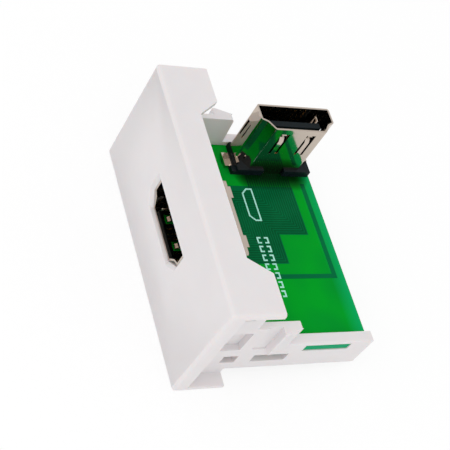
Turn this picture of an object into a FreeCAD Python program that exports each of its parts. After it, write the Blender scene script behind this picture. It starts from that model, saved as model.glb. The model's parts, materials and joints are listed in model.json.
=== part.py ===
import FreeCAD, Part
import os
import Sketcher

# Snap-in wall-plate module that couples two digital video cables: a white moulded housing
# carries a green board with a right-angle socket at its face and an upright socket behind.
# X runs along the long side, Y from the front face backwards, Z up, in millimetres.
# The origin is the centre of the front port, in the plane of the front face.

SIZES = [
    # housing
    ("moduleLength", 50.0, "long side of the face"),
    ("moduleHeight", 25.0, "short side of the face"),
    ("bodyDepth", 9.6, "front face to the back edge of the side walls"),
    ("sideWall", 1.1, "thickness of the two long side walls"),
    ("faceWall", 1.6, "thickness of the front face"),
    ("endFlange", 2.6, "thickness of the face at its two ends"),
    ("endRecess", 2.6, "how far the end walls stand in from the ends of the face"),
    ("endWall", 2.0, "thickness of the end walls and arms"),
    ("faceEdgeRadius", 0.7, "rounding of the face's outer edge"),
    ("faceCornerRadius", 0.6, "rounding of the four long corner edges"),
    ("notchDepth", 4.0, "depth of the notch in the back edge of a side wall"),
    ("notchFloor", 28.8, "length of the notch at its floor"),
    ("notchMouth", 34.6, "length of the notch at the wall's back edge"),
    ("armEnd", 36.3, "face to the free end of the arms"),
    ("armInset", 2.3, "side wall's outer face to the lower edge of the arms"),
    ("armAboveBoard", 0.9, "top edge of the arms above the board"),
    ("tabEnd", 18.5, "face to the back edge of the raised tabs"),
    ("tabTop", 3.4, "top edge of the raised tabs above the origin"),
    ("tabCorner", 0.4, "cut at the tab's free corner"),
    ("tabDraft", 0.6, "how much thinner the tab is at its top"),
    ("catchFace", 14.6, "face to the locking face of the catches"),
    ("catchHeight", 1.2, "how far a catch stands out of its tab"),
    ("catchBottom", 3.6, "lower edge of a catch below the origin"),
    ("catchRelief", 0.3, "depth of the shallow panel ahead of a catch"),
    ("catchReliefStart", 11.9, "face to the start of that panel"),
    ("latchPocketStart", 5.5, "face to the start of the pocket in the end wall"),
    ("latchPocketTop", 2.0, "top of that pocket above the origin"),
    ("latchPocketDepth", 1.2, "depth of that pocket"),
    ("slitStart", 5.0, "face to the start of the slit above the pocket"),
    ("slitEnd", 7.7, "face to the end of the slit"),
    ("slitLevel", 6.4, "lower edge of the slit above the origin"),
    ("slitWidth", 0.5, "width of the slit"),
    ("windowDrop", 4.7, "board's top face down to the lower edge of the windows"),
    ("windowHeight", 2.2, "height of the windows"),
    ("frontWindowStart", 7.7, "face to the front edge of the first window"),
    ("frontWindowEnd", 10.5, "face to the back edge of the first window"),
    ("backWindowStart", 13.6, "face to the front edge of the second window"),
    ("backWindowEnd", 20.4, "face to the back edge of the second window"),
    ("portLength", 17.2, "length of the port in the face"),
    ("portHeight", 6.15, "height of the port in the face"),
    ("portCornerLength", 2.4, "length of the port's two cut corners"),
    ("portCornerHeight", 2.1, "height of the port's two cut corners"),
    ("portBevel", 0.6, "depth of the port's sloping border"),
    ("portGap", 0.1, "clearance of the socket in the port"),
    # board
    ("boardLevel", 3.3, "board's top face below the origin"),
    ("boardThickness", 1.6, "thickness of the board"),
    ("boardFrontGap", 0.4, "face wall to the board's front edge"),
    ("boardShort", 0.6, "board's back edge to the free end of the arms"),
    ("boardGap", 0.1, "clearance of the board's ends and tabs in the housing"),
    ("tabStart", 22.7, "face to the front edge of the board's tabs"),
    ("tabLength", 9.2, "length of the board's tabs"),
    ("tabInset", 0.15, "board tab's end inside the arm's outer face"),
    ("slotDrop", 0.15, "room below a board tab in its slot"),
    # shell outline that both sockets share, wide side up
    ("shellWidth", 15.5, "overall width of a shell"),
    ("shellHeight", 5.7, "overall height of a shell"),
    ("sheet", 0.35, "thickness of the shell's sheet metal"),
    ("bendRadius", 0.5, "outer radius of the shell's folds"),
    ("shoulderHeight", 2.3, "narrow face up to the end of the straight sides"),
    ("shoulderWidth", 2.4, "how much narrower each side is at the narrow face"),
    ("kneeHeight", 1.7, "narrow face up to the knee of the shoulder"),
    ("kneeWidth", 1.2, "straight side in to the knee of the shoulder"),
    # spring fingers cut from the shell's narrow face and its two sides
    ("fingerSpacing", 5.5, "distance between the two fingers of the narrow face"),
    ("fingerWidth", 0.95, "width of a finger"),
    ("fingerGap", 0.45, "slot beside and ahead of a finger"),
    ("fingerRoot", 6.9, "mouth to the root of a finger"),
    ("fingerBend", 3.3, "mouth to where a finger leaves the wall"),
    ("fingerBump", 2.5, "mouth to the contact bend of a finger"),
    ("fingerTip", 1.7, "mouth to the free end of a finger"),
    ("fingerInset", 0.45, "how far the contact bend stands in"),
    ("fingerTipInset", 0.1, "how far the free end stands in"),
    ("sideFingerLevel", 1.5, "middle of a side finger above the shell's middle"),
    ("sideFingerWidth", 0.7, "width of a side finger"),
    ("sideFingerGap", 0.35, "slot beside and ahead of a side finger"),
    ("sideFingerRoot", 7.6, "mouth to the root of a side finger"),
    ("sideFingerTip", 3.95, "mouth to the free end of a side finger"),
    ("sideFingerInset", 0.15, "how far a side finger stands in"),
    # tongue and contacts
    ("tongueWidth", 11.6, "width of the tongue"),
    ("tongueThickness", 1.2, "thickness of the tongue"),
    ("tongueRecess", 1.7, "mouth to the tongue's free end"),
    ("tonguePocket", 0.5, "tongue's free end to the start of the contacts"),
    ("moldGap", 0.05, "clearance of a moulding in its shell"),
    ("contactPitch", 1.0, "distance between the contacts of a row"),
    ("upperCount", 10, "contacts in the row on the wide side"),
    ("lowerCount", 9, "contacts in the row on the narrow side"),
    ("contactWidth", 0.3, "width of a contact"),
    ("contactThickness", 0.25, "thickness of a contact"),
    ("contactProud", 0.06, "how far a contact stands out of the tongue"),
    ("contactGap", 0.03, "clearance beside and above a contact"),
    ("contactBend", 0.15, "cut at the outside of a contact's two bends"),
    # front socket
    ("mouthGap", 0.05, "port's sloping border to the mouth of the front socket"),
    ("frontRise", 0.05, "middle of the front socket above the origin"),
    ("frontLength", 12.2, "length of the front shell"),
    ("frontBlockBack", 3.35, "front shell's back end to the front of the socket's block"),
    ("frontBlockLength", 1.6, "length of that block"),
    ("frontTailGap", 0.2, "block to the contacts' vertical legs"),
    ("frontFootReach", 2.2, "length of the contacts' feet on the board"),
    ("backCoverWidth", 7.4, "width of the cover folded down behind"),
    ("backCoverDrop", 3.6, "how far that cover hangs down"),
    ("backCoverReach", 0.2, "how far that cover stands out behind"),
    ("roofTabStart", 3.9, "middle to the inner side of a roof tab"),
    ("roofTabWidth", 2.4, "width of a roof tab"),
    ("roofTabReach", 0.5, "how far a roof tab stands out behind"),
    ("frontLegFirst", 2.65, "mouth to the first pair of legs"),
    ("frontLegBack", 2.75, "front shell's back end to the start of the second pair of legs"),
    ("legWidth", 1.2, "width of a shell leg in the board"),
    ("legGap", 0.1, "clearance of a shell leg in the board"),
    ("legBelow", 0.7, "how far a leg stands out under the board"),
    # rear socket
    ("rearInset", 8.1, "end of the face to the middle of the rear socket"),
    ("rearEdge", 0.65, "board's back edge to the rear socket's side"),
    ("rearHeight", 13.1, "board to the mouth of the rear socket"),
    ("baseHeight", 1.5, "height of the rear socket's foot"),
    ("baseNear", 0.1, "foot beyond the shell's side that has the lug"),
    ("baseFar", 0.25, "foot beyond the shell's other side"),
    ("noseReach", 1.05, "shell's side to the end of the foot's nose beside the lug"),
    ("noseHeight", 1.0, "height of that nose"),
    ("baseMargin", 0.25, "foot beyond the shell's wide face"),
    ("baseStep", 0.5, "foot beyond the shell's narrow face"),
    ("rearCoreTop", 3.2, "board to the top of the moulding inside the shell"),
    ("lugReach", 2.0, "shell's side to the outside of its bent lug"),
    ("lugWidth", 3.0, "width of that lug"),
    ("lugHeight", 0.75, "board to the top of the strap that carries the lug"),
    ("lugOffset", 0.4, "middle of the lug towards the narrow face"),
    ("frontTabWidth", 4.4, "width of the tab below the narrow face"),
    ("frontTabDrop", 1.5, "how far that tab hangs down"),
    ("pinHoleRadius", 0.3, "radius of the board's holes for the pins"),
    ("pinBelow", 0.7, "how far a pin stands out under the board"),
    # solder
    ("solderHeight", 0.5, "height of a joint under the board"),
    ("pinSolderRadius", 0.42, "radius of a pin's joint at the board"),
    ("legSolderRadius", 1.0, "radius of a leg's joint at the board"),
    ("solderTaper", 0.5, "radius of a joint at its tip, as a share of the above"),
    ("solderSides", 8, "sides of a joint's outline"),
    ("footSolderLength", 0.45, "length of the ramp at a foot"),
]

doc = FreeCAD.newDocument("VideoCoupler")
sheet = doc.addObject("Spreadsheet::Sheet", "dim")
for row, (alias, number, note) in enumerate(SIZES, 1):
    sheet.set(f"A{row}", note)
    sheet.set(f"B{row}", str(number))
    sheet.setAlias(f"B{row}", alias)
doc.recompute()

# places that follow from the sizes
BOARD_FRONT = "(dim.faceWall + dim.boardFrontGap)"
BOARD_BACK = "(dim.armEnd - dim.boardShort)"
FRONT_MOUTH = "(dim.portBevel + dim.mouthGap)"
REAR_X = "(dim.rearInset - dim.moduleLength / 2)"
REAR_Y = f"({BOARD_BACK} - dim.rearEdge - dim.shellWidth / 2)"
FRONT_BLOCK = "(dim.frontLength - dim.frontBlockBack)"

V = FreeCAD.Vector
# each plane: its role, and the sign of its normal along the world axis that it faces
PLANES = {"XY": ("XY_Plane", 1), "XZ": ("XZ_Plane", -1), "YZ": ("YZ_Plane", 1)}
parts = []


def value(expression):
    """The number that an expression of the sheet's sizes gives."""
    return float(sheet.evalExpression(str(expression)))


def newBody(label):
    body = doc.addObject("PartDesign::Body", label)
    body.Label = label
    parts.append(body)
    return body


def originItem(body, role):
    return [item for item in body.Origin.OriginFeatures if item.Role == role][0]


def newSketch(body, name, plane, level):
    """A sketch parallel to one of the body's planes, at a level along that plane's axis."""
    role, sign = PLANES[plane]
    sketch = body.newObject("Sketcher::SketchObject", name)
    sketch.AttachmentSupport = [(originItem(body, role), "")]
    sketch.MapMode = "FlatFace"
    sketch.setExpression("AttachmentOffset.Base.z", f"{sign} * ({level})")
    return sketch


def place(sketch, geometry, corner, label, spot):
    """Hold one point of a sketch by its two distances from the origin."""
    for kind, axis, part in (("DistanceX", "x", spot[0]), ("DistanceY", "y", spot[1])):
        index = sketch.addConstraint(Sketcher.Constraint(kind, -1, 1, geometry, corner, value(part)))
        sketch.renameConstraint(index, label + axis)
        sketch.setExpression("Constraints." + label + axis, str(part))


def polygon(sketch, points):
    """A closed outline whose corners are pairs of expressions."""
    corners = [V(value(a), value(b), 0) for a, b in points]
    count = len(points)
    for n in range(count):
        sketch.addGeometry(Part.LineSegment(corners[n], corners[(n + 1) % count]))
    for n in range(count):
        sketch.addConstraint(Sketcher.Constraint("Coincident", n, 2, (n + 1) % count, 1))
        place(sketch, n, 1, f"p{n}", points[n])


def rectangle(low, high):
    """The four corners of a rectangle from its lowest and highest corner."""
    return [(low[0], low[1]), (high[0], low[1]), (high[0], high[1]), (low[0], high[1])]


def pad(body, name, plane, start, end, points):
    """Material between two levels along the axis that the plane faces."""
    sketch = newSketch(body, name + "Sketch", plane, start)
    polygon(sketch, points)
    feature = body.newObject("PartDesign::Pad", name)
    feature.Profile = sketch
    feature.setExpression("Length", f"({end}) - ({start})")
    feature.Reversed = plane == "XZ"
    return feature


def pocket(body, name, plane, start, end, points):
    """A cut between two levels along the axis that the plane faces."""
    sketch = newSketch(body, name + "Sketch", plane, start)
    polygon(sketch, points)
    feature = body.newObject("PartDesign::Pocket", name)
    feature.Profile = sketch
    feature.setExpression("Length", f"({end}) - ({start})")
    feature.Reversed = plane != "XZ"
    return feature


def repeat(body, feature, axis, pitch, count):
    """Copies of a feature in a row along one of the body's axes."""
    row = body.newObject("PartDesign::LinearPattern", feature.Name + "Row")
    row.Originals = [feature]
    row.Direction = (originItem(body, axis), [""])
    row.setExpression("Length", f"({pitch}) * ({count} - 1)")
    row.setExpression("Occurrences", count)
    body.Tip = row


def roundEdges(body, name, radius, test):
    """Round the tip's edges that pass a test."""
    doc.recompute()
    tip = body.Tip
    names = [f"Edge{n}" for n, edge in enumerate(tip.Shape.Edges, 1) if test(edge)]
    fillet = body.newObject("PartDesign::Fillet", name)
    fillet.Base = (tip, names)
    fillet.setExpression("Radius", radius)


def lies(edge, axis, level):
    """True if the whole edge lies at one level along an axis."""
    return all(abs(getattr(vertex.Point, axis) - level) < 1e-4 for vertex in edge.Vertexes)


def runs(edge, axis):
    """True if a straight edge runs along an axis."""
    first, last = edge.Vertexes[0].Point, edge.Vertexes[-1].Point
    return edge.Curve.TypeId == "Part::GeomLine" and \
        abs(abs(getattr(last - first, axis)) - edge.Length) < 1e-4


def socketOutline(inset="0"):
    """Outline of a shell seen into its mouth: wide side up, two S-shaped shoulders below."""
    wide = f"(dim.shellWidth / 2 - ({inset}))"
    tall = f"(dim.shellHeight / 2 - ({inset}))"
    right = [(f"{wide} - dim.shoulderWidth", f"-{tall}"),
             (f"{wide} - dim.kneeWidth", f"-{tall} + dim.kneeHeight"),
             (wide, f"-{tall} + dim.shoulderHeight"), (wide, tall)]
    left = [(f"-({x})", z) for x, z in reversed(right)]
    return right + left


def housing():
    """White moulding: face, side walls, end walls with catches, and two slotted arms."""
    body = newBody("housing")
    halfLength, halfHeight = "dim.moduleLength / 2", "dim.moduleHeight / 2"
    outer = f"({halfLength} - dim.endRecess)"
    inner = f"({outer} - dim.endWall)"
    side = f"({halfHeight} - dim.sideWall)"
    bottom = f"(dim.armInset - {halfHeight})"

    pad(body, "Block", "XZ", "0", "dim.bodyDepth",
        rectangle((f"-{halfLength}", f"-{halfHeight}"), (halfLength, halfHeight)))
    roundEdges(body, "CornerEdges", "dim.faceCornerRadius", lambda edge: runs(edge, "y"))
    roundEdges(body, "FaceEdge", "min(dim.faceEdgeRadius, dim.faceWall / 2)",
               lambda edge: lies(edge, "y", 0))
    pocket(body, "Cavity", "XZ", "dim.faceWall", "dim.bodyDepth + 1",
           rectangle((f"-{inner}", f"-{side}"), (inner, side)))

    # one end is modelled and mirrored
    window = "(-dim.boardLevel - dim.windowDrop)"
    ends = [
        pocket(body, "EndRecess", "XZ", "dim.endFlange", "dim.bodyDepth + 1",
               rectangle((outer, f"-{side}"), (f"{halfLength} + 1", side))),
        pad(body, "Arm", "YZ", inner, outer, [
            ("dim.bodyDepth", bottom), ("dim.armEnd", bottom),
            ("dim.armEnd", "dim.armAboveBoard - dim.boardLevel"),
            ("dim.tabEnd", "dim.armAboveBoard - dim.boardLevel"),
            ("dim.tabEnd", "dim.tabTop - dim.tabCorner"),
            ("dim.tabEnd - dim.tabCorner", "dim.tabTop"),
            ("dim.bodyDepth", "dim.tabTop")]),
        pocket(body, "TabDraft", "XZ", "dim.bodyDepth", "dim.tabEnd + 1", [
            (inner, "dim.armAboveBoard - dim.boardLevel"),
            (f"{inner} + dim.tabDraft", "dim.tabTop"), (inner, "dim.tabTop")]),
        pad(body, "Catch", "XY", "-dim.catchBottom", "dim.tabTop", [
            (outer, "dim.catchFace"), (f"{outer} + dim.catchHeight", "dim.catchFace"),
            (f"{outer} + dim.catchHeight", "dim.catchFace + dim.catchHeight / 3"),
            (outer, "dim.tabEnd")]),
        pocket(body, "CatchRelief", "YZ", f"{outer} - dim.catchRelief", f"{outer} + 1",
               rectangle(("dim.catchReliefStart", "-dim.catchBottom"),
                         ("dim.catchFace", "dim.tabTop + 1"))),
        pocket(body, "LatchPocket", "YZ", f"{outer} - dim.latchPocketDepth", f"{outer} + 1",
               rectangle(("dim.latchPocketStart", "-dim.catchBottom"),
                         ("dim.bodyDepth", "dim.latchPocketTop"))),
        pocket(body, "Slit", "YZ", f"{outer} - dim.latchPocketDepth", f"{outer} + 1",
               rectangle(("dim.slitStart", "dim.slitLevel"),
                         ("dim.slitEnd", "dim.slitLevel + dim.slitWidth"))),
        pocket(body, "FrontWindow", "YZ", f"{inner} - 1", f"{outer} + 1",
               rectangle(("dim.frontWindowStart", window),
                         ("dim.frontWindowEnd", f"{window} + dim.windowHeight"))),
        pocket(body, "BackWindow", "YZ", f"{inner} - 1", f"{outer} + 1",
               rectangle(("dim.backWindowStart", window),
                         ("dim.backWindowEnd", f"{window} + dim.windowHeight"))),
        pocket(body, "BoardSlot", "YZ", f"{inner} - 1", f"{outer} + 1", rectangle(
            ("dim.tabStart - dim.boardGap",
             "-dim.boardLevel - dim.boardThickness - dim.slotDrop"),
            ("dim.tabStart + dim.tabLength + dim.boardGap", "-dim.boardLevel + dim.boardGap"))),
    ]
    mirror = body.newObject("PartDesign::Mirrored", "OtherEnd")
    mirror.Originals = ends
    mirror.MirrorPlane = (originItem(body, "YZ_Plane"), [""])
    body.Tip = mirror

    notch = [("-dim.notchMouth / 2", "dim.bodyDepth"), ("dim.notchMouth / 2", "dim.bodyDepth"),
             ("dim.notchMouth / 2 + 1", "dim.bodyDepth + 1"),
             ("-dim.notchMouth / 2 - 1", "dim.bodyDepth + 1")]
    floor = [("-dim.notchFloor / 2", "dim.bodyDepth - dim.notchDepth"),
             ("dim.notchFloor / 2", "dim.bodyDepth - dim.notchDepth")]
    pocket(body, "TopNotch", "XY", side, f"{halfHeight} + 1", floor + notch[1:] + notch[:1])
    pocket(body, "BottomNotch", "XY", f"-{halfHeight} - 1", f"-{side}",
           floor + notch[1:] + notch[:1])

    # the port slopes in from the face to a hole that the front socket stands in
    rise = "dim.frontRise"
    outline = portOutline("dim.portLength / 2", "dim.portHeight / 2", rise)
    hole = portOutline("dim.shellWidth / 2 + dim.portGap", "dim.shellHeight / 2 + dim.portGap", rise)
    pocket(body, "Port", "XZ", "0", "dim.faceWall + 1", hole)
    border = newSketch(body, "PortBorderSketch", "XZ", "0")
    polygon(border, outline)
    inside = newSketch(body, "PortHoleSketch", "XZ", "dim.portBevel")
    polygon(inside, hole)
    slope = body.newObject("PartDesign::SubtractiveLoft", "PortBorder")
    slope.Profile, slope.Sections, slope.Ruled = border, [inside], True


def portOutline(wide, tall, rise):
    """Outline of the port: a rectangle whose two lower corners are cut."""
    low, high = f"({rise} - ({tall}))", f"({rise} + {tall})"
    right = [(f"({wide}) - dim.portCornerLength", low),
             (wide, f"{low} + dim.portCornerHeight"), (wide, high)]
    return right + [(f"-({x})", z) for x, z in reversed(right)]


def circuitBoard():
    """Green board with a tab at each end and the holes for legs and pins."""
    body = newBody("circuit_board")
    outer = "(dim.moduleLength / 2 - dim.endRecess)"
    half = f"({outer} - dim.endWall - dim.boardGap)"
    reach = f"({outer} - dim.tabInset)"
    top, bottom = "-dim.boardLevel", "(-dim.boardLevel - dim.boardThickness)"
    tabEnd = "dim.tabStart + dim.tabLength"
    right = [(half, BOARD_FRONT), (half, "dim.tabStart"), (reach, "dim.tabStart"),
             (reach, tabEnd), (half, tabEnd), (half, BOARD_BACK)]
    left = [(f"-{x}", y) for x, y in reversed(right)]
    pad(body, "Plate", "XY", bottom, top, right + left)

    def legSlot(name, low, high):
        """A slot for a leg, wider than the leg all round."""
        pocket(body, name, "XY", f"{bottom} - 1", f"{top} + 1", rectangle(
            [f"{part} - dim.legGap" for part in low], [f"{part} + dim.legGap" for part in high]))

    for name, low, high in shellLegs():
        legSlot(name + "Slot", low, high)
    for name, shift, level, count in contactRows():
        sketch = newSketch(body, name + "HoleSketch", "XY", f"{bottom} - 1")
        middle = (f"{REAR_X} - ({level})", f"{REAR_Y} - ({shift})")
        sketch.addGeometry(Part.Circle(V(value(middle[0]), value(middle[1]), 0), V(0, 0, 1),
                                       value("dim.pinHoleRadius")))
        place(sketch, 0, 3, "middle", middle)
        index = sketch.addConstraint(Sketcher.Constraint("Radius", 0, value("dim.pinHoleRadius")))
        sketch.renameConstraint(index, "radius")
        sketch.setExpression("Constraints.radius", "dim.pinHoleRadius")
        hole = body.newObject("PartDesign::Pocket", name + "Hole")
        hole.Profile = sketch
        hole.setExpression("Length", "dim.boardThickness + 2")
        hole.Reversed = True
        repeat(body, hole, "Y_Axis", "dim.contactPitch", count)


def contactRows():
    """Both rows: name, half the row's length, middle of its contacts off the tongue, count."""
    level = "(dim.tongueThickness / 2 + dim.contactProud - dim.contactThickness / 2)"
    rows = (("Upper", level, "dim.upperCount"), ("Lower", f"-{level}", "dim.lowerCount"))
    return [(name, f"(dim.contactPitch * ({count} - 1) / 2)", off, count)
            for name, off, count in rows]


def shellLegs():
    """Every shell leg where it crosses the board: name, lowest and highest corner."""
    legs = []
    half = "dim.shellWidth / 2"
    for pair, depth in (("First", "dim.frontLegFirst"),
                        ("Second", "(dim.frontLength - dim.frontLegBack)")):
        start = f"{FRONT_MOUTH} + {depth}"
        legs.append(("Right" + pair, (f"{half} - dim.sheet", start),
                     (half, f"{start} + dim.legWidth")))
        legs.append(("Left" + pair, (f"-{half}", start),
                     (f"-{half} + dim.sheet", f"{start} + dim.legWidth")))
    middle = f"{REAR_X} + dim.lugOffset"
    span = (f"{middle} - dim.legWidth / 2", f"{middle} + dim.legWidth / 2")
    near = f"{REAR_Y} - {half} - dim.lugReach"
    legs.append(("Near", (span[0], near), (span[1], f"{near} + dim.sheet")))
    far = f"{REAR_Y} + {half}"
    legs.append(("Far", (span[0], f"{far} - dim.sheet"), (span[1], far)))
    return legs


def socketShell(label, length):
    """Folded sheet tube with spring fingers; its mouth is at y = 0 of its own frame."""
    body = newBody(label)
    pad(body, "Tube", "XZ", "0", length, socketOutline())
    roundEdges(body, "Folds", "dim.bendRadius", lambda edge: runs(edge, "y"))
    doc.recompute()
    folds = body.Tip
    ends = [f"Face{n}" for n, face in enumerate(folds.Shape.Faces, 1)
            if face.BoundBox.YLength < 1e-4]
    wall = body.newObject("PartDesign::Thickness", "Sheet")
    wall.Base = (folds, ends)
    wall.setExpression("Value", "dim.sheet")
    wall.Reversed = True
    doc.recompute()

    face = "(-dim.shellHeight / 2)"
    inside = f"({face} + dim.sheet)"
    for name, side in (("Left", "-1"), ("Right", "1")):
        middle = f"{side} * dim.fingerSpacing / 2"
        edges = (f"{middle} - dim.fingerWidth / 2", f"{middle} + dim.fingerWidth / 2")
        pocket(body, name + "Window", "XY", f"{face} - 0.2", f"{inside} + 0.2",
               rectangle((f"{edges[0]} - dim.fingerGap", "dim.fingerTip - dim.fingerGap"),
                         (f"{edges[1]} + dim.fingerGap", "dim.fingerRoot")))
        pad(body, name + "Finger", "YZ", edges[0], edges[1], [
            ("dim.fingerRoot + dim.sheet", face), ("dim.fingerRoot + dim.sheet", inside),
            ("dim.fingerBend", inside), ("dim.fingerBump", f"{inside} + dim.fingerInset"),
            ("dim.fingerTip", f"{inside} + dim.fingerTipInset"),
            ("dim.fingerTip", f"{face} + dim.fingerTipInset"),
            ("dim.fingerBump", f"{face} + dim.fingerInset"), ("dim.fingerBend", face)])

    half = "(dim.shellWidth / 2)"
    low = "(dim.sideFingerLevel - dim.sideFingerWidth / 2)"
    top = "(dim.sideFingerLevel + dim.sideFingerWidth / 2)"
    for sideName, side in (("Left", "-1"), ("Right", "1")):
        levels = sorted((f"{side} * {half}", f"{side} * ({half} - dim.sheet)"), key=value)
        pocket(body, sideName + "SideWindow", "YZ", f"{levels[0]} - 0.2", f"{levels[1]} + 0.2",
               rectangle(("dim.sideFingerTip - dim.sideFingerGap", f"{low} - dim.sideFingerGap"),
                         ("dim.sideFingerRoot", f"{top} + dim.sideFingerGap")))
        pad(body, sideName + "SideFinger", "XY", low, top, [
            (f"{side} * {half}", "dim.sideFingerRoot + dim.sheet"),
            (f"{side} * ({half} - dim.sheet)", "dim.sideFingerRoot + dim.sheet"),
            (f"{side} * ({half} - dim.sheet)", "dim.sideFingerRoot"),
            (f"{side} * ({half} - dim.sheet - dim.sideFingerInset)", "dim.sideFingerTip"),
            (f"{side} * ({half} - dim.sideFingerInset)", "dim.sideFingerTip"),
            (f"{side} * {half}", "dim.sideFingerRoot")])
    return body


def frontShell():
    """Right-angle shell: legs down to the board, a cover behind, open below at the back."""
    body = socketShell("front_socket_shell", "dim.frontLength")
    high, half = "(dim.shellHeight / 2)", "(dim.shellWidth / 2)"
    boardTop = "(-dim.boardLevel - dim.frontRise)"
    pocket(body, "TailOpening", "XY", f"-{high} - 1", f"-{high} + dim.kneeHeight",
           rectangle((f"-{half}", f"{FRONT_BLOCK} + dim.frontBlockLength / 2"),
                     (half, "dim.frontLength + 1")))
    back = "(dim.frontLength + dim.backCoverReach)"
    pad(body, "BackCover", "YZ", "-dim.backCoverWidth / 2", "dim.backCoverWidth / 2", [
        ("dim.frontLength - dim.sheet", f"{high} - dim.sheet"),
        (f"{back} - dim.sheet", f"{high} - dim.sheet"),
        (f"{back} - dim.sheet", f"{high} - dim.backCoverDrop"), (back, f"{high} - dim.backCoverDrop"),
        (back, f"{high} - dim.bendRadius / 2"), (f"{back} - dim.bendRadius / 2", high),
        ("dim.frontLength - dim.sheet", high)])
    for name, side in (("Left", "-1"), ("Right", "1")):
        inside = f"{side} * dim.roofTabStart"
        outside = f"{side} * (dim.roofTabStart + dim.roofTabWidth)"
        across = sorted((inside, outside), key=value)
        pad(body, name + "RoofTab", "XY", f"{high} - dim.sheet", high,
            rectangle((across[0], "dim.frontLength - dim.sheet"),
                      (across[1], "dim.frontLength + dim.roofTabReach")))
    foot = f"({boardTop} - dim.boardThickness - dim.legBelow)"
    for name, low, top in shellLegs()[:4]:
        front = f"{low[1]} - {FRONT_MOUTH}"
        rear = f"{top[1]} - {FRONT_MOUTH}"
        pad(body, name + "Leg", "XY", foot, f"-{high} + dim.shoulderHeight + dim.bendRadius",
            rectangle((low[0], front), (top[0], rear)))
    layFlat(body)


def layFlat(body):
    """Put a socket's piece behind the port, with its wide side up."""
    body.setExpression("Placement.Base.y", FRONT_MOUTH)
    body.setExpression("Placement.Base.z", "dim.frontRise")


def standUpright(body):
    """Turn a socket's piece so that its mouth faces up and its wide side faces -X."""
    body.Placement.Rotation = FreeCAD.Rotation(V(0, 1, 0), V(0, 0, -1), V(-1, 0, 0), "XYZ")
    body.setExpression("Placement.Base.x", REAR_X)
    body.setExpression("Placement.Base.y", REAR_Y)
    body.setExpression("Placement.Base.z", "dim.rearHeight - dim.boardLevel")


def rearShell():
    """Upright shell: a bent lug at one side, a straight leg at the other, a tab in front."""
    body = socketShell("rear_socket_shell", "dim.rearHeight - dim.baseHeight")
    high, half = "(dim.shellHeight / 2)", "(dim.shellWidth / 2)"
    bottom = "(dim.rearHeight - dim.baseHeight)"
    foot = "(dim.rearHeight + dim.boardThickness + dim.legBelow)"
    strap = "(dim.rearHeight - dim.lugHeight)"
    middle = "(-dim.lugOffset)"
    wide = (f"{middle} - dim.lugWidth / 2", f"{middle} + dim.lugWidth / 2")
    slim = (f"{middle} - dim.legWidth / 2", f"{middle} + dim.legWidth / 2")
    outside = f"(-{half} - dim.lugReach)"
    pad(body, "Lug", "XZ", f"{bottom} - 0.5", f"{strap} + dim.sheet",
        rectangle((f"-{half}", wide[0]), (f"-{half} + dim.sheet", wide[1])))
    pad(body, "LugStrap", "XZ", strap, f"{strap} + dim.sheet",
        rectangle((outside, wide[0]), (f"-{half} + dim.sheet", wide[1])))
    pad(body, "LugFront", "XZ", strap, "dim.rearHeight",
        rectangle((outside, wide[0]), (f"{outside} + dim.sheet", wide[1])))
    pad(body, "LugLeg", "XZ", strap, foot,
        rectangle((outside, slim[0]), (f"{outside} + dim.sheet", slim[1])))
    pad(body, "FarLeg", "XZ", f"{bottom} - 0.5", foot,
        rectangle((f"{half} - dim.sheet", slim[0]), (half, slim[1])))
    pad(body, "FrontTab", "XZ", f"{bottom} - 0.5", f"{bottom} + dim.frontTabDrop",
        rectangle(("-dim.frontTabWidth / 2", f"-{high}"),
                  ("dim.frontTabWidth / 2", f"-{high} + dim.sheet")))
    standUpright(body)


def insulator(label, blockStart, blockEnd):
    """Black moulding: a block that fits the shell, and a tongue grooved for the contacts."""
    body = newBody(label)
    fit = "(dim.sheet + dim.moldGap)"
    wide, high = f"(dim.shellWidth / 2 - {fit})", f"(dim.shellHeight / 2 - {fit})"
    ledge = f"(-dim.shellHeight / 2 + dim.shoulderHeight + {fit})"
    slim = f"(dim.shellWidth / 2 - dim.shoulderWidth - 2 * dim.sheet)"
    right = [(slim, f"-{high}"), (slim, ledge), (wide, ledge), (wide, high)]
    left = [(f"-{x}", z) for x, z in reversed(right)]
    pad(body, "Block", "XZ", blockStart, blockEnd, right + left)
    pad(body, "Tongue", "XZ", "dim.tongueRecess", blockStart,
        rectangle(("-dim.tongueWidth / 2", "-dim.tongueThickness / 2"),
                  ("dim.tongueWidth / 2", "dim.tongueThickness / 2")))
    return body


def cutGrooves(body, grooveEnd):
    """Grooves for both rows of contacts, from near the tongue's end through the block."""
    for name, shift, level, count in contactRows():
        sign = "-1" if name == "Lower" else "1"
        floor = f"({level} - {sign} * dim.contactThickness / 2)"
        roof = f"({level} + {sign} * (dim.contactThickness / 2 + dim.contactGap))"
        span = sorted((floor, roof), key=value)
        reach = "(dim.contactWidth / 2 + dim.contactGap)"
        groove = pocket(body, name + "Groove", "XZ", "dim.tongueRecess + dim.tonguePocket",
                        grooveEnd, rectangle((f"-{shift} - {reach}", span[0]),
                                             (f"-{shift} + {reach}", span[1])))
        repeat(body, groove, "X_Axis", "dim.contactPitch", count)


def frontInsulator():
    end = f"({FRONT_BLOCK} + dim.frontBlockLength)"
    body = insulator("front_socket_insulator", FRONT_BLOCK, end)
    cutGrooves(body, f"{end} + 1")
    layFlat(body)


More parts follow.
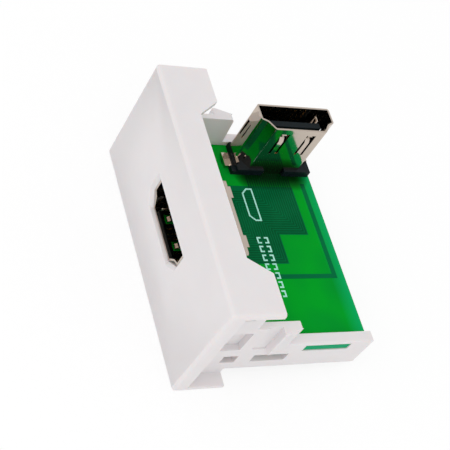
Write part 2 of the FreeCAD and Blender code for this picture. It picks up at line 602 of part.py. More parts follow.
def rearInsulator():
    """The rear moulding also has a foot on the board, notched for the shell's lug and tab."""
    top = "(dim.rearHeight - dim.baseHeight)"
    body = insulator("rear_socket_insulator", "dim.rearHeight - dim.rearCoreTop", top)
    shell, high = "(dim.shellWidth / 2)", "(dim.shellHeight / 2)"
    pad(body, "Foot", "XZ", top, "dim.rearHeight",
        rectangle((f"-{shell} - dim.baseNear", f"-{high} - dim.baseStep"),
                  (f"{shell} + dim.baseFar", f"{high} + dim.baseMargin")))
    middle = "(-dim.lugOffset)"
    strap = "(dim.rearHeight - dim.lugHeight)"
    lug = (f"{middle} - dim.lugWidth / 2 - dim.moldGap", f"{middle} + dim.lugWidth / 2 + dim.moldGap")
    leg = (f"{middle} - dim.legWidth / 2 - dim.moldGap", f"{middle} + dim.legWidth / 2 + dim.moldGap")
    pad(body, "Nose", "XZ", "dim.rearHeight - dim.noseHeight", "dim.rearHeight",
        rectangle((f"-{shell} - dim.noseReach", f"-{high} - dim.baseStep"), (f"-{shell}", lug[0])))
    pocket(body, "LugNotch", "XZ", f"{top} - 0.1", "dim.rearHeight + 1",
           rectangle((f"-{shell} - dim.moldGap", lug[0]),
                     (f"-{shell} + dim.sheet + dim.moldGap", lug[1])))
    pocket(body, "StrapNotch", "XZ", f"{strap} - dim.moldGap", "dim.rearHeight + 1",
           rectangle((f"-{shell} - dim.baseNear - 1", lug[0]), (f"-{shell}", lug[1])))
    pocket(body, "LegNotch", "XZ", f"{top} - 0.1", "dim.rearHeight + 1",
           rectangle((f"{shell} - dim.sheet - dim.moldGap", leg[0]),
                     (f"{shell} + dim.moldGap", leg[1])))
    pocket(body, "TabNotch", "XZ", f"{top} - 0.1", "dim.rearHeight + 1",
           rectangle(("-dim.frontTabWidth / 2 - dim.moldGap", f"-{high} - dim.baseStep - 1"),
                     ("dim.frontTabWidth / 2 + dim.moldGap", f"-{high} + dim.sheet + dim.moldGap")))
    cutGrooves(body, "dim.rearHeight + 1")
    standUpright(body)


def contactPlaces():
    """Every contact in order across the socket: number, row sign and place across."""
    upper, lower = int(value("dim.upperCount")), int(value("dim.lowerCount"))
    places = [("1", n, "dim.upperCount") for n in range(upper)]
    places += [("-1", n, "dim.lowerCount") for n in range(lower)]
    across = [(sign, f"dim.contactPitch * ({n} - ({count} - 1) / 2)") for sign, n, count in places]
    return sorted(across, key=lambda item: value(item[1]))


def contacts(prefix, outline):
    """One contact for each place; outline gives its side view for a row's sign."""
    made = []
    for number, (sign, across) in enumerate(contactPlaces(), 1):
        body = newBody(f"{prefix}_contact_{number:02d}")
        pad(body, "Strip", "YZ", f"{across} - dim.contactWidth / 2",
            f"{across} + dim.contactWidth / 2", outline(sign))
        made.append(body)
    return made


def contactFaces(sign):
    """Inner and outer face of a blade, measured from the tongue's middle."""
    outerFace = f"{sign} * (dim.tongueThickness / 2 + dim.contactProud)"
    innerFace = f"{sign} * (dim.tongueThickness / 2 + dim.contactProud - dim.contactThickness)"
    return innerFace, outerFace


def frontContactOutline(sign):
    """Side view of a front contact: blade, leg down behind the block, foot on the board."""
    low, top = sorted(contactFaces(sign), key=value)
    start = "dim.tongueRecess + dim.tonguePocket"
    leg = f"{FRONT_BLOCK} + dim.frontBlockLength + dim.frontTailGap"
    legBack = f"{leg} + dim.contactThickness"
    board = "(-dim.boardLevel - dim.frontRise)"
    foot = f"{leg} + dim.frontFootReach"
    return [(start, low), (leg, low), (leg, f"{board} + dim.contactBend"),
            (f"{leg} + dim.contactBend", board), (foot, board),
            (foot, f"{board} + dim.contactThickness"), (legBack, f"{board} + dim.contactThickness"),
            (legBack, f"{top} - dim.contactBend"), (f"{legBack} - dim.contactBend", top),
            (start, top)]


def rearContactOutline(sign):
    """Side view of a rear contact: a straight blade that ends under the board."""
    low, top = sorted(contactFaces(sign), key=value)
    return rectangle(("dim.tongueRecess + dim.tonguePocket", low),
                     ("dim.rearHeight + dim.boardThickness + dim.pinBelow", top))


def solderJoint(name, radius, middle, low, high):
    """A tapering joint under the board with a hole for what it holds."""
    bottom = "(-dim.boardLevel - dim.boardThickness)"
    hole = doc.addObject("Part::Box", name + "Core")
    hole.setExpression("Length", f"({high[0]}) - ({low[0]})")
    hole.setExpression("Width", f"({high[1]}) - ({low[1]})")
    hole.setExpression("Height", "dim.solderHeight + 2")
    hole.setExpression("Placement.Base.x", low[0])
    hole.setExpression("Placement.Base.y", low[1])
    hole.setExpression("Placement.Base.z", f"{bottom} - dim.solderHeight - 1")
    rings = []
    for end, size, level in (("Root", radius, bottom),
                             ("Tip", f"{radius} * dim.solderTaper", f"{bottom} - dim.solderHeight")):
        ring = doc.addObject("Part::RegularPolygon", name + end)
        ring.setExpression("Polygon", "dim.solderSides")
        ring.setExpression("Circumradius", size)
        ring.setExpression("Placement.Base.x", middle[0])
        ring.setExpression("Placement.Base.y", middle[1])
        ring.setExpression("Placement.Base.z", level)
        rings.append(ring)
    taper = doc.addObject("Part::Loft", name + "Taper")
    taper.Sections, taper.Solid, taper.Ruled = rings, True, True
    joint = doc.addObject("Part::Cut", name)
    joint.Base, joint.Tool = taper, hole
    return joint


def group(label, pieces):
    """Like pieces in one node, as separate solids."""
    compound = doc.addObject("Part::Compound", label)
    compound.Label = label
    compound.Links = pieces
    parts.append(compound)


def solderJoints():
    """Joints under the board at every leg and pin, and ramps at the front feet."""
    legs = []
    for name, low, high in shellLegs():
        middle = [f"(({a}) + ({b})) / 2" for a, b in zip(low, high)]
        legs.append(solderJoint(name + "Joint", "dim.legSolderRadius", middle, low, high))
    group("front_shell_solder", legs[:4])
    group("rear_shell_solder", legs[4:])

    pins, ramps = [], []
    halfWidth, halfThick = "dim.contactWidth / 2", "dim.contactThickness / 2"
    level = contactRows()[0][2]
    back = f"({FRONT_MOUTH} + {FRONT_BLOCK} + dim.frontBlockLength" \
        " + dim.frontTailGap + dim.frontFootReach)"
    for number, (sign, across) in enumerate(contactPlaces(), 1):
        x, y = f"{REAR_X} - {sign} * {level}", f"{REAR_Y} + {across}"
        pins.append(solderJoint(f"PinJoint{number:02d}", "dim.pinSolderRadius", (x, y),
                               (f"{x} - {halfThick}", f"{y} - {halfWidth}"),
                               (f"{x} + {halfThick}", f"{y} + {halfWidth}")))
        ramp = doc.addObject("Part::Wedge", f"FootJoint{number:02d}")
        for side, size in (("Xmin", "0"), ("Xmax", "dim.contactWidth"), ("X2min", "0"),
                           ("X2max", "dim.contactWidth"), ("Ymin", "0"),
                           ("Ymax", "dim.contactThickness"), ("Zmin", "0"),
                           ("Zmax", "dim.footSolderLength"), ("Z2min", "0"),
                           ("Z2max", "dim.footSolderLength / 4")):
            ramp.setExpression(side, size)
        ramp.Placement.Rotation = FreeCAD.Rotation(V(-1, 0, 0), V(0, 0, 1), V(0, 1, 0), "XYZ")
        ramp.setExpression("Placement.Base.x", f"{across} + {halfWidth}")
        ramp.setExpression("Placement.Base.y", back)
        ramp.setExpression("Placement.Base.z", "-dim.boardLevel")
        ramps.append(ramp)
    group("rear_contact_solder", pins)
    group("front_contact_solder", ramps)


def checkDocument():
    """Stop on a failed object, a broken shape, or a cut that removed nothing."""
    for item in doc.Objects:
        if {"Invalid", "Error"} & set(item.State):
            raise RuntimeError(f"{item.Label} failed: {item.State}")
        if item.TypeId in ("PartDesign::Pocket", "PartDesign::Pad") and item.BaseFeature:
            grown = item.Shape.Volume - item.BaseFeature.Shape.Volume
            if (grown > -1e-6) if item.TypeId.endswith("Pocket") else (grown < 1e-6):
                raise RuntimeError(f"{item.Label} changed nothing")
    for part in parts:
        if part.Shape.isNull() or not part.Shape.isValid():
            raise RuntimeError(f"{part.Label} has no valid shape")


housing()
circuitBoard()
frontShell()
rearShell()
frontInsulator()
rearInsulator()
for frontContact in contacts("front", frontContactOutline):
    layFlat(frontContact)
for rearContact in contacts("rear", rearContactOutline):
    standUpright(rearContact)
solderJoints()
doc.recompute()
checkDocument()

os.makedirs("parts", exist_ok=True)
for part in parts:
    part.Shape.exportStep(f"parts/{part.Label}.step")
    print(part.Label, len(part.Shape.Solids), round(part.Shape.Volume, 3))
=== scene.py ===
import json
import math

import bmesh
import bpy
import numpy as np
from mathutils import Matrix, Vector


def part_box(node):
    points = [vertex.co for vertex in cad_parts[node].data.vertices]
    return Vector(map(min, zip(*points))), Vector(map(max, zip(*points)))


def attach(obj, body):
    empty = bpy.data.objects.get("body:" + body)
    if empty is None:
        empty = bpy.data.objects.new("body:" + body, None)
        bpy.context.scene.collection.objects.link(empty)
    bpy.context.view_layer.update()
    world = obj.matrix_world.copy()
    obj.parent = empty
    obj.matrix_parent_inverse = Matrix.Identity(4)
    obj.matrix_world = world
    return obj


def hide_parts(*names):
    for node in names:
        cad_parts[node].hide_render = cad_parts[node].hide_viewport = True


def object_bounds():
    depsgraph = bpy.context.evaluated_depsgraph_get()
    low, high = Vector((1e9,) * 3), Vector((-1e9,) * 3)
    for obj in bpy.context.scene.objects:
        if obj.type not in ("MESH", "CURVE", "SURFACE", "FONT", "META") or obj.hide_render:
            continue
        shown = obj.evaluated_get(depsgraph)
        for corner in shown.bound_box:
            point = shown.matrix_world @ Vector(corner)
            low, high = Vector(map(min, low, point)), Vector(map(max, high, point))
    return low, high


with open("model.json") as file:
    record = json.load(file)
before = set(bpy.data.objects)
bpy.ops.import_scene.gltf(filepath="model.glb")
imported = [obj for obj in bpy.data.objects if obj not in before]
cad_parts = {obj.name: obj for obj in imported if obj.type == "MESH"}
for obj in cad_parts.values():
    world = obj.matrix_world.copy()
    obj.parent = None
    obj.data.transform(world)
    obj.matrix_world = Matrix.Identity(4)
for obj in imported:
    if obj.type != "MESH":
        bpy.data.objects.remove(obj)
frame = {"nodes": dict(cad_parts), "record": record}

# Wall-plate module with two digital video sockets, seen from above its right end.
# X runs along the face, Y from the face backwards, Z up, in metres; mm turns millimetres.
mm = 0.001
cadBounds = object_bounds()
nodes = frame["nodes"]
scene = bpy.context.scene


def linearColour(hexColour):
    # sRGB hex value to a linear colour
    shares = [int(hexColour[n:n + 2], 16) / 255 for n in (1, 3, 5)]
    return [s / 12.92 if s <= 0.04045 else ((s + 0.055) / 1.055) ** 2.4 for s in shares] + [1.0]


def addNode(tree, kind, inputs=None, **settings):
    # adds one node; an input is a constant, or a (node, output) pair to link from
    node = tree.nodes.new(kind)
    for name, setting in settings.items():
        setattr(node, name, setting)
    for name, source in (inputs or {}).items():
        if isinstance(source, tuple) and isinstance(source[0], bpy.types.Node):
            tree.links.new(source[0].outputs[source[1]], node.inputs[name])
        else:
            node.inputs[name].default_value = source
    return node


def calculate(tree, operation, *terms):
    # the result of a Math node whose terms are constants or links
    return addNode(tree, "ShaderNodeMath", dict(enumerate(terms)), operation=operation), "Value"


def mixColours(tree, share, first, second):
    # the first colour where the share is 0, the second where it is 1; a colour Mix node takes
    # them at its sockets 6 and 7 and gives its result at socket 2
    return addNode(tree, "ShaderNodeMix", {"Factor": share, 6: first, 7: second},
                   data_type="RGBA"), 2


def placeOf(tree):
    # the place in object space, split into X, Y and Z
    spot = addNode(tree, "ShaderNodeTexCoord")
    return addNode(tree, "ShaderNodeSeparateXYZ", {"Vector": (spot, "Object")})


def normalOf(tree):
    # the flat normal of the face, split into X, Y and Z
    geometry = addNode(tree, "ShaderNodeNewGeometry")
    return addNode(tree, "ShaderNodeSeparateXYZ", {"Vector": (geometry, "True Normal")})


def newMaterial(name, shader):
    # an empty material with one Principled shader whose constants are set on its sockets
    material = bpy.data.materials.new(name)
    material.use_nodes = True
    tree = material.node_tree
    tree.nodes.clear()
    principled = addNode(tree, "ShaderNodeBsdfPrincipled", shader)
    output = addNode(tree, "ShaderNodeOutputMaterial")
    tree.links.new(principled.outputs["BSDF"], output.inputs["Surface"])
    return material, tree, principled


def grainNode(tree, sizeMm, detail=2.0):
    # noise in object space whose spots are about sizeMm across
    spot = addNode(tree, "ShaderNodeTexCoord")
    return addNode(tree, "ShaderNodeTexNoise", {
        "Vector": (spot, "Object"), "Scale": 1 / (sizeMm * mm), "Detail": detail,
        "Roughness": 0.5})


def blendColours(tree, grain, low, high, start, end):
    # the grain picks between two colours over a range of its values
    ramp = addNode(tree, "ShaderNodeValToRGB", {"Fac": (grain, "Fac")})
    ramp.color_ramp.elements[0].position, ramp.color_ramp.elements[1].position = start, end
    ramp.color_ramp.elements[0].color = linearColour(low)
    ramp.color_ramp.elements[1].color = linearColour(high)
    return ramp


def tintBase(tree, principled, grain, low, high, start=0.3, end=0.7):
    tint = blendColours(tree, grain, low, high, start, end)
    tree.links.new(tint.outputs["Color"], principled.inputs["Base Color"])


def varyRoughness(tree, principled, grain, low, high):
    spread = addNode(tree, "ShaderNodeMapRange", {
        "Value": (grain, "Fac"), "From Min": 0.3, "From Max": 0.7, "To Min": low, "To Max": high})
    tree.links.new(spread.outputs["Result"], principled.inputs["Roughness"])


def addRelief(tree, principled, grain, depthMm, strength):
    bump = addNode(tree, "ShaderNodeBump", {
        "Height": (grain, "Fac"), "Strength": strength, "Distance": depthMm * mm})
    tree.links.new(bump.outputs["Normal"], principled.inputs["Normal"])


def whiteAbs():
    # ABS moulded in a spark-eroded tool: a fine even texture that turns gloss into a soft sheen,
    # over a very slight unevenness of the white
    material, tree, shader = newMaterial("whiteMouldedAbs", {
        "IOR": 1.54, "Subsurface Weight": 0.3, "Subsurface Scale": 1.2 * mm,
        "Subsurface Radius": (1.0, 0.6, 0.45)})
    cloud = grainNode(tree, 6.0)
    tintBase(tree, shader, cloud, "#E1DDDE", "#E3DFE0")
    texture = grainNode(tree, 0.16, 3.0)
    varyRoughness(tree, shader, texture, 0.36, 0.5)
    addRelief(tree, shader, texture, 0.006, 0.35)
    return material


# a face looks up, or lies flat, where the Z part of its normal is above this
upright = 0.5
# box of the upright socket's foot (low and high X and Y, mm), and the reach and fall of the
# painted shade round it
paintedFootShade = {"low": (-17.6, 22.4), "high": (-13.6, 32.0), "reach": 3.4, "fall": 2.5}


def paintShadeByFoot(tree, tint, shade):
    # painted shade round the upright socket's foot, darker nearer the foot, as where the foot
    # would stop light coming through the board from behind: the tint's share is (distance to the
    # foot's outline / reach) ^ fall, the rest is the painted shade colour; only faces that look up
    # get the painted shade
    place = placeOf(tree)
    squares = []
    for axis, low, high in zip("XY", paintedFootShade["low"], paintedFootShade["high"]):
        offset = calculate(tree, "SUBTRACT", (place, axis), (low + high) / 2 * mm)
        away = calculate(tree, "ABSOLUTE", offset)
        past = calculate(tree, "SUBTRACT", away, (high - low) / 2 * mm)
        squares.append(calculate(tree, "POWER", calculate(tree, "MAXIMUM", past, 0.0), 2.0))
    distance = calculate(tree, "SQRT", calculate(tree, "ADD", *squares))
    share = addNode(tree, "ShaderNodeMapRange", {
        "Value": distance, "From Max": paintedFootShade["reach"] * mm})
    near = calculate(tree, "POWER", (share, "Result"), paintedFootShade["fall"])
    notUp = calculate(tree, "LESS_THAN", (normalOf(tree), "Z"), upright)
    light = calculate(tree, "MAXIMUM", near, notUp)
    return mixColours(tree, light, linearColour(shade), tint)


# painted light: the board's colour turns brighter and bluer towards its far edge, between these Y
# places
paintedRimLight = {"from": 32.6, "to": 35.7, "colour": "#0AA45E"}
resistSheen = {"Roughness": 0.22, "IOR": 1.52, "Specular IOR Level": 0.02}


def greenResist():
    # glass-epoxy laminate under green solder resist: a saturated green with little shine, made
    # uneven by broad noise painted as light coming through the board, with painted light that
    # makes it brighter along its far edge and painted shade round the upright socket's foot; the
    # sawn edges are a bluer green
    material, tree, shader = newMaterial("greenSolderResist", resistSheen)
    cloud = grainNode(tree, 9.0, 1.0)
    tint = blendColours(tree, cloud, "#00902A", "#009E24", 0.35, 0.65)
    paintedRimShare = addNode(tree, "ShaderNodeMapRange", {
        "Value": (placeOf(tree), "Y"), "From Min": paintedRimLight["from"] * mm,
        "From Max": paintedRimLight["to"] * mm})
    tint = mixColours(tree, (paintedRimShare, "Result"), (tint, "Color"), linearColour(paintedRimLight["colour"]))
    # painted shade round the upright socket's foot
    tint = paintShadeByFoot(tree, tint, "#012406")
    flat = calculate(tree, "ABSOLUTE", (normalOf(tree), "Z"))
    face = calculate(tree, "GREATER_THAN", flat, upright)
    pick, colour = mixColours(tree, face, linearColour("#049C68"), tint)
    tree.links.new(pick.outputs[colour], shader.inputs["Base Color"])
    weave = grainNode(tree, 0.7, 2.0)
    addRelief(tree, shader, weave, 0.004, 0.3)
    return material


def copperUnderResist(name, low, high):
    # copper under the same resist: a darker green with the same gloss, with painted shade round
    # the upright socket's foot
    material, tree, shader = newMaterial(name, resistSheen)
    cloud = grainNode(tree, 5.0, 1.0)
    tint = blendColours(tree, cloud, low, high, 0.35, 0.65)
    # painted shade round the upright socket's foot
    shaded, colour = paintShadeByFoot(tree, (tint, "Color"), "#011E0A")
    tree.links.new(shaded.outputs[colour], shader.inputs["Base Color"])
    return material


def silkInk():
    # thin screen-printed epoxy ink: flat white, made sea-green by the board below
    material, tree, shader = newMaterial("whiteScreenInk", {"Roughness": 0.55, "IOR": 1.5})
    cloud = grainNode(tree, 0.4, 3.0)
    tintBase(tree, shader, cloud, "#8CDCC8", "#B4F0E0", 0.3, 0.6)
    return material


def nickelSheet():
    # bronze sheet, blanked and folded, then bright nickel plated: a warm mirror with a
    # slight ripple that breaks up what it reflects
    material, tree, shader = newMaterial("brightNickelSheet", {"Metallic": 1.0})
    cloud = grainNode(tree, 3.0)
    tintBase(tree, shader, cloud, "#C4B7AB", "#C7BAAE")
    varyRoughness(tree, shader, cloud, 0.07, 0.1)
    addRelief(tree, shader, cloud, 0.01, 0.12)
    return material


def blackNylon():
    # glass-filled nylon: blue-black, half matt, with the faint mottle of its fibres and a green
    # cast painted in as a reflection of the board
    material, tree, shader = newMaterial("blackMouldedNylon", {
        "IOR": 1.53, "Specular IOR Level": 0.12})
    cloud = grainNode(tree, 0.5, 3.0)
    tintBase(tree, shader, cloud, "#0A1215", "#131F24")
    varyRoughness(tree, shader, cloud, 0.3, 0.5)
    return material


def giltBronze():
    # phosphor bronze strip with a flash of gold: pale yellow, bright but not a mirror
    material, tree, shader = newMaterial("goldFlashedBronze", {"Metallic": 1.0})
    cloud = grainNode(tree, 0.6)
    tintBase(tree, shader, cloud, "#CFA85C", "#E3C078")
    varyRoughness(tree, shader, cloud, 0.2, 0.32)
    return material


def tinSolder():
    # tin solder that froze shiny, with a fine grain where it cooled
    material, tree, shader = newMaterial("tinSolder", {"Metallic": 1.0})
    cloud = grainNode(tree, 0.25, 3.0)
    tintBase(tree, shader, cloud, "#B9B9BC", "#D2D2D4")
    varyRoughness(tree, shader, cloud, 0.16, 0.34)
    addRelief(tree, shader, cloud, 0.01, 0.3)
    return material


finishes = {
    "white_abs": whiteAbs(), "green_laminate": greenResist(), "nickel_sheet": nickelSheet(),
    "black_moulding": blackNylon(), "gilt_contact": giltBronze(), "solder": tinSolder(),
}
traceFinish = copperUnderResist("tracesUnderResist", "#02522C", "#045A32")
planeFinish = copperUnderResist("copperPlaneUnderResist", "#02663A", "#046C3E")
inkFinish = silkInk()
slotOf = {part["node"]: part["material_slot"] for part in frame["record"]["subparts"]}
for name, slotName in slotOf.items():
    nodes[name].data.materials.clear()
    nodes[name].data.materials.append(finishes[slotName])
print("materials")


def addPiece(name, points, faces, finish, smooth=False):
    # a mesh object at the origin from an array of points in millimetres and its faces
    mesh = bpy.data.meshes.new(name)
    mesh.from_pydata((np.asarray(points) * mm).tolist(), [], [list(face) for face in faces])
    mesh.update()
    mesh.materials.append(finish)
    mesh.polygons.foreach_set("use_smooth", [smooth] * len(mesh.polygons))
    piece = bpy.data.objects.new(name, mesh)
    scene.collection.objects.link(piece)
    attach(piece, "root")
    return piece


def boxOf(name):
    # lowest and highest corner of a node, in millimetres
    return [np.array(corner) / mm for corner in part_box(name)]


# softened copies: the merged mesh of a node with its flat facets joined, so that a small
# bevel rounds the real edges only
softEdges = {"housing": 0.14, "front_socket_shell": 0.05, "rear_socket_shell": 0.05,
             "front_socket_insulator": 0.05, "rear_socket_insulator": 0.08}
softening = {"weld": 0.0005, "flatAngle": 1, "sharpAngle": 30, "bevelAngle": 32, "segments": 2}


def softCopy(name, width):
    mesh = nodes[name].data.copy()
    form = bmesh.new()
    form.from_mesh(mesh)
    bmesh.ops.remove_doubles(form, verts=form.verts, dist=softening["weld"] * mm)
    bmesh.ops.dissolve_limit(form, angle_limit=math.radians(softening["flatAngle"]),
                             verts=form.verts, edges=form.edges)
    form.to_mesh(mesh)
    form.free()
    piece = bpy.data.objects.new(name + "_soft", mesh)
    scene.collection.objects.link(piece)
    mesh.polygons.foreach_set("use_smooth", [True] * len(mesh.polygons))
    mesh.set_sharp_from_angle(angle=math.radians(softening["sharpAngle"]))
    bevel = piece.modifiers.new("edges", "BEVEL")
    bevel.width, bevel.segments = width * mm, softening["segments"]
    bevel.limit_method, bevel.angle_limit = "ANGLE", math.radians(softening["bevelAngle"])
    bevel.harden_normals = True
    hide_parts(name)
    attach(piece, "root")


for name, width in softEdges.items():
    softCopy(name, width)
print("softened mouldings and shells")


# copper and ink on the board: flat strips with a real thickness, along a path of corners
boardLow, boardHigh = boxOf("circuit_board")
boardTop, boardBottom = boardHigh[2], boardLow[2]


def middlesOf(prefix):
    # middle of each contact of a socket, and its lowest and highest corner
    names = [name for name in sorted(nodes) if name.startswith(f"{prefix}_contact_")
             and not name.endswith("solder")]
    corners = np.array([boxOf(name) for name in names])
    return corners.mean(axis=1), corners


pinMiddles = middlesOf("rear")[0]
footMiddles, footCorners = middlesOf("front")
pinMiddles = pinMiddles[np.argsort(pinMiddles[:, 1])]
footMiddles = footMiddles[np.argsort(footMiddles[:, 0])]
copper = {"thick": 0.035, "traceWidth": 0.26, "pitch": 0.5, "turnX": -9.7, "turnY": 15.5,
          "dropX": -3.5, "jogY": 15.2, "guardWidth": 0.9, "guardX": 8.5, "guardY": 33.6,
          "guardStart": -11.9, "padWidth": 0.32, "padReach": 0.6, "padUnder": 2.0,
          "padRise": 0.01, "laneShift": 1.1,
          "planeMargin": 0.35, "planeStartX": -11.0, "planeStartY": 13.2, "planeThick": 0.01}


def stripPoints(corners, width, low, high):
    # A strip along straight runs: at each corner the two long edges lie where the offsets
    # of both runs meet, and the four edges (top and bottom) are given corner by corner.
    path = np.array(corners, float)
    run = np.diff(path, axis=0)
    run /= np.linalg.norm(run, axis=1)[:, None]
    before, after = np.vstack([run[:1], run]), np.vstack([run, run[-1:]])
    side = np.stack([-(before[:, 1] + after[:, 1]), before[:, 0] + after[:, 0]], axis=1)
    side /= (1 + (before * after).sum(axis=1))[:, None]
    left, right = path + side * width / 2, path - side * width / 2
    ring = np.stack([np.column_stack([edge, np.full(len(path), level)])
                     for edge, level in ((left, high), (right, high), (right, low), (left, low))],
                    axis=1)
    return ring.reshape(-1, 3)


def stripFaces(count, first):
    # four long faces between neighbouring corners and a cap at each end
    n = np.arange(count - 1)[:, None, None] * 4
    k = np.arange(4)[None, :, None]
    near, far = n + k, n + 4 + k
    nextNear, nextFar = n + (k + 1) % 4, n + 4 + (k + 1) % 4
    quads = np.concatenate([near, nextNear, nextFar, far], axis=2).reshape(-1, 4)
    caps = np.array([[3, 2, 1, 0], [0, 1, 2, 3] + np.array(4 * (count - 1))])
    return np.vstack([quads, caps]) + first


def addStrips(name, paths, width, low, high, finish):
    points, faces, first = [], [], 0
    for path in paths:
        ring = stripPoints(path, width, low, high)
        points.append(ring)
        faces.append(stripFaces(len(path), first))
        first += len(ring)
    piece = addPiece(name, np.vstack(points), np.vstack(faces), finish)
    form = bmesh.new()
    form.from_mesh(piece.data)
    bmesh.ops.recalc_face_normals(form, faces=form.faces)
    form.to_mesh(piece.data)
    form.free()


def signalPath(i):
    # from a pin of the upright socket aside to its lane, along X, towards the face, along X, then
    # to its own foot
    shift = i * copper["pitch"]
    pin, foot = pinMiddles[i], footMiddles[i]
    turnX, dropX = copper["turnX"] + shift, copper["dropX"] + shift
    turnY, jog = copper["turnY"] + shift, dropX - foot[0]
    aside = copper["laneShift"]
    return [(pin[0], pin[1]), (pin[0] + aside, pin[1] - aside), (turnX, pin[1] - aside),
            (turnX, turnY), (dropX, turnY), (dropX, copper["jogY"]),
            (foot[0], copper["jogY"] - jog), (foot[0], footCorners[0][1][1])]


copperTop = boardTop + copper["thick"]
signalPaths = [signalPath(i) for i in range(len(pinMiddles))]
addStrips("signal_traces", signalPaths, copper["traceWidth"], boardTop - copper["thick"],
          copperTop, traceFinish)


def planeOutline():
    # round the signal traces: as far as the outermost one, and a margin
    laneEnd, turn, drop = (np.array(signalPaths[-1]) + copper["planeMargin"])[2:5]
    startX, startY = copper["planeStartX"], copper["planeStartY"]
    return [(startX, startY), (drop[0], startY), tuple(drop), tuple(turn), tuple(laneEnd),
            (startX, laneEnd[1])]


def addSlab(name, outline, low, high, finish):
    # a flat plate from its outline, given anticlockwise from above
    count = len(outline)
    points = [(x, y, level) for level in (low, high) for x, y in outline]
    sides = [(n, (n + 1) % count, (n + 1) % count + count, n + count) for n in range(count)]
    lids = [list(range(count))[::-1], list(range(count, 2 * count))]
    addPiece(name, points, sides + lids, finish)


addSlab("inner_plane", planeOutline(), boardTop - copper["thick"], boardTop + copper["planeThick"],
        planeFinish)
guardPath = [(copper["guardStart"], copper["guardY"]), (copper["guardX"], copper["guardY"]),
             (copper["guardX"], copper["jogY"])]
addStrips("guard_trace", [guardPath], copper["guardWidth"], boardTop - copper["thick"],
          copperTop, planeFinish)
footBack = footCorners[:, 1, 1].max()
padPaths = [[(foot[0], footBack - copper["padUnder"]), (foot[0], footBack + copper["padReach"])]
            for foot in footMiddles]
addStrips("foot_pads", padPaths, copper["padWidth"], boardTop - copper["thick"],
          copperTop + copper["padRise"], finishes["solder"])

# screen-printed marks: the outline of a plug, then a row of component places, each a pair of
# brackets that face each other
ink = {"line": 0.3, "thick": 0.02, "lowY": 19.8, "highY": 21.9, "plugX": (-10.3, -3.4),
       "plugCorner": 1.0, "rowStart": 0.9, "rowPitch": 1.85, "rowCount": 7, "placeWidth": 1.05,
       "placeGap": 0.7}


def printMarks():
    low, high = ink["lowY"], ink["highY"]
    left, right = ink["plugX"]
    cut, middle = ink["plugCorner"], (left + right) / 2
    marks = [[(middle, high), (left, high), (left, low + cut), (left + cut, low),
              (right - cut, low), (right, low + cut), (right, high), (middle, high)]]
    for n in range(ink["rowCount"]):
        x = ink["rowStart"] + n * ink["rowPitch"]
        near, far = x - ink["placeWidth"] / 2, x + ink["placeWidth"] / 2
        for end, toMiddle in ((low, 1), (high, -1)):
            tip = (low + high) / 2 - toMiddle * ink["placeGap"] / 2
            marks.append([(near, tip), (near, end), (far, end), (far, tip)])
    return marks


addStrips("printed_marks", printMarks(), ink["line"], boardTop - copper["thick"],
          copperTop + ink["thick"], inkFinish)
print("board copper and ink")

# solder under the board: a fillet that climbs each pin or leg in a hollow curve
fillets = {"pinRoot": 0.44, "legRoot": 1.05, "tipShare": 0.42, "height": 0.5, "rings": 6,
           "pinSides": 14, "legSides": 22, "padBeyond": 0.12, "padThick": 0.035,
           "sharpAngle": 60, "jointReach": 2.2}


def filletPoints(x, y, root, sides):
    # A surface of revolution: the radius falls from the root to the tip with the square of
    # the height that is left, so that the side is hollow; a thin pad lies round its root.
    f = fillets
    t = np.linspace(0, 1, f["rings"])
    radius = root * (f["tipShare"] + (1 - f["tipShare"]) * (1 - t) ** 2)
    level = boardBottom - f["padThick"] - f["height"] * t
    pad = root + f["padBeyond"]
    radius = np.concatenate([[pad, pad], radius])
    level = np.concatenate([[boardBottom, boardBottom - f["padThick"]], level])
    turn = np.arange(sides) * 2 * np.pi / sides
    return np.stack([x + np.outer(radius, np.cos(turn)), y + np.outer(radius, np.sin(turn)),
                     np.repeat(level[:, None], sides, axis=1)], axis=2).reshape(-1, 3)


def filletFaces(sides, first):
    # quads between neighbouring rings, and a flat cap at each end
    rings = fillets["rings"] + 2
    n, k = np.meshgrid(np.arange(rings - 1), np.arange(sides), indexing="ij")
    a, b = n * sides + k, n * sides + (k + 1) % sides
    quads = np.stack([a, b, b + sides, a + sides], axis=-1).reshape(-1, 4)[:, ::-1] + first
    top = list(np.arange(sides) + first)
    tip = list(np.arange(sides)[::-1] + first + (rings - 1) * sides)
    return quads.tolist() + [top, tip]


def addFillets(name, centres, root, sides):
    points, faces, first = [], [], 0
    for x, y in centres:
        ring = filletPoints(x, y, root, sides)
        points.append(ring)
        faces += filletFaces(sides, first)
        first += len(ring)
    piece = addPiece(name + "_smooth", np.vstack(points), faces, finishes["solder"], True)
    piece.data.set_sharp_from_angle(angle=math.radians(fillets["sharpAngle"]))
    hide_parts(name)


def jointCentres(name, root):
    # middles of a node's separate joints, found from its loose corners
    mesh = nodes[name].data
    spots = np.empty(len(mesh.vertices) * 3)
    mesh.vertices.foreach_get("co", spots)
    spots = spots.reshape(-1, 3)[:, :2] / mm
    centres = []
    while len(spots):
        near = np.linalg.norm(spots - spots[0], axis=1) < fillets["jointReach"] * root
        group = spots[near]
        centres.append((group.min(axis=0) + group.max(axis=0)) / 2)
        spots = spots[~near]
    return centres


addFillets("rear_contact_solder", pinMiddles[:, :2], fillets["pinRoot"], fillets["pinSides"])
for name in ("front_shell_solder", "rear_shell_solder"):
    addFillets(name, jointCentres(name, fillets["legRoot"]), fillets["legRoot"],
               fillets["legSides"])
print("solder")

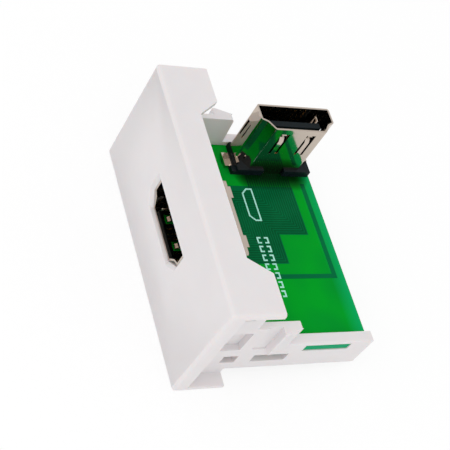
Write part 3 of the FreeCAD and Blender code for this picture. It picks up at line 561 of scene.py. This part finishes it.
# camera, solved from the photograph's corners
view = {"position": (96.34, -84.86, 144.08), "target": (-1.54, 13.28, -2.14),
        "roll": 36.74, "lens": 91.456, "clipStart": 10}
camera = bpy.data.objects.new("camera", bpy.data.cameras.new("camera"))
scene.collection.objects.link(camera)
place, target = Vector(view["position"]) * mm, Vector(view["target"]) * mm
turn = (target - place).to_track_quat("-Z", "Y").to_matrix().to_4x4()
camera.matrix_world = Matrix.Translation(place) @ turn \
    @ Matrix.Rotation(math.radians(view["roll"]), 4, "Z")
camera.data.lens = view["lens"]
camera.data.clip_start = view["clipStart"] * mm
scene.camera = camera

# floor and light
floorLevel = cadBounds[0][2]
studio = {"floorSize": 3.0, "floorGlow": 0.8, "world": 0.83, "keyPower": 1.25, "keySize": 0.5,
          "keyPlace": (0.25, -0.3, 0.6)}


def glowForSight(tree):
    # 1 for camera and transmitted rays, so that they see the background as white
    light = addNode(tree, "ShaderNodeLightPath")
    return calculate(tree, "MAXIMUM", (light, "Is Camera Ray"), (light, "Is Transmission Ray"))


def paleFloor():
    material = bpy.data.materials.new("paleFloor")
    material.use_nodes = True
    tree = material.node_tree
    tree.nodes.clear()
    share = calculate(tree, "MULTIPLY", glowForSight(tree), studio["floorGlow"])
    paper = addNode(tree, "ShaderNodeBsdfDiffuse", {"Color": linearColour("#FFFFFF")})
    glow = addNode(tree, "ShaderNodeEmission", {"Strength": 1.0})
    both = addNode(tree, "ShaderNodeMixShader", {
        0: share, 1: (paper, "BSDF"), 2: (glow, "Emission")})
    output = addNode(tree, "ShaderNodeOutputMaterial")
    tree.links.new(both.outputs["Shader"], output.inputs["Surface"])
    return material


bpy.ops.mesh.primitive_plane_add(size=studio["floorSize"], location=(0, 0, floorLevel))
floor = bpy.context.object
floor.name = "floor"
floor.data.materials.append(paleFloor())

world = bpy.data.worlds.new("studio")
scene.world = world
world.use_nodes = True
tree = world.node_tree
level = addNode(tree, "ShaderNodeMapRange", {
    "Value": glowForSight(tree), "To Min": studio["world"], "To Max": 1.0})
tree.links.new(level.outputs["Result"], tree.nodes["Background"].inputs["Strength"])
tree.nodes["Background"].inputs["Color"].default_value = (1, 1, 1, 1)

key = bpy.data.objects.new("keyLight", bpy.data.lights.new("keyLight", "AREA"))
scene.collection.objects.link(key)
key.data.size, key.data.energy = studio["keySize"], studio["keyPower"]
key.location = studio["keyPlace"]
key.rotation_euler = (-Vector(studio["keyPlace"])).to_track_quat("-Z", "Y").to_euler()

scene.view_settings.view_transform = "Standard"
print("camera and studio")
